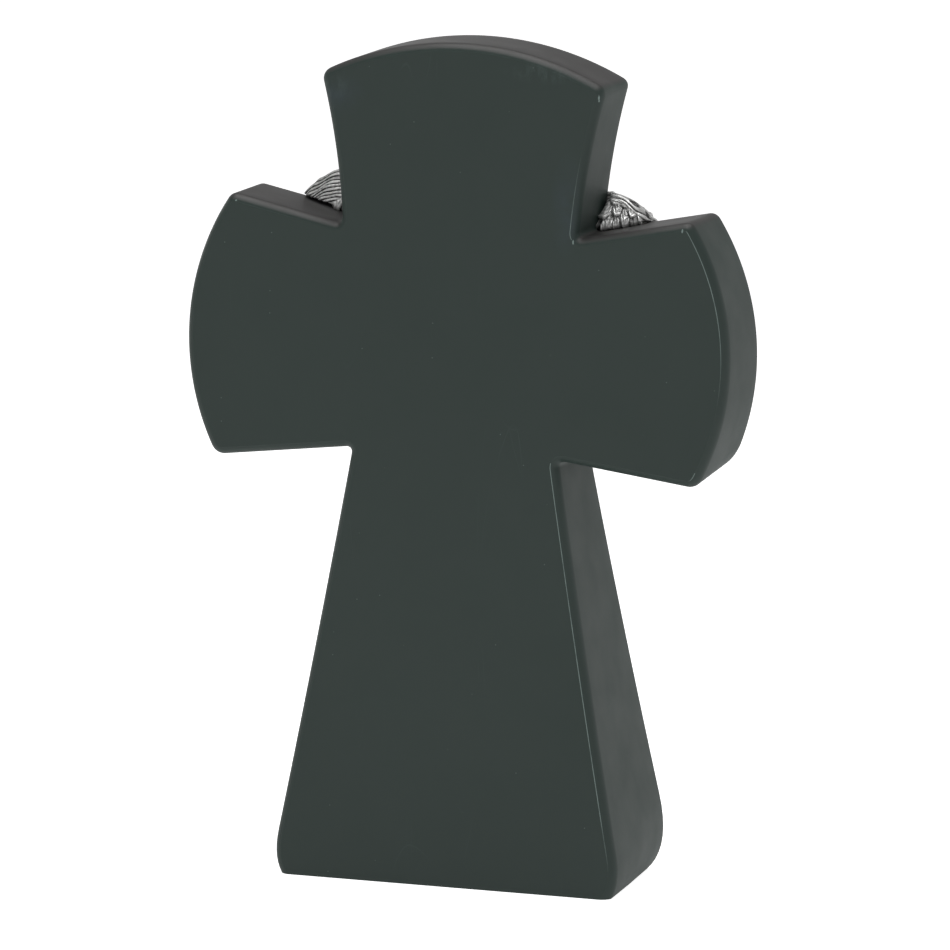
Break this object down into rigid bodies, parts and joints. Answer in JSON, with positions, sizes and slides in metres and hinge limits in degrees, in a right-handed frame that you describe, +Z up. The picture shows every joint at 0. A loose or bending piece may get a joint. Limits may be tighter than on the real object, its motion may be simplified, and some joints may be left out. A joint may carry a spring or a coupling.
{
  "type": "standing memorial cross",
  "caption": "Free-standing memorial cross with flared arms, arched ends and a wide foot, with a pair of folded feathered wings applied to its front.",
  "frame": {"origin": "centre of the foot's flat underside", "axes": "+Z up, -Y towards the winged front, +Y towards the flat back, X across the arms"},
  "size_m": [0.2206, 0.074, 0.33],
  "materials": {
    "cast_body": "matte charcoal green paint over a smooth casting",
    "silver_wings": "antiqued silver paint, rubbed bright on the high feathers and dark in the recesses"
  },
  "bodies": {
    "root": {"cross_body": "cast_body", "left_wing": "silver_wings", "right_wing": "silver_wings"}
  },
  "joints": []
}
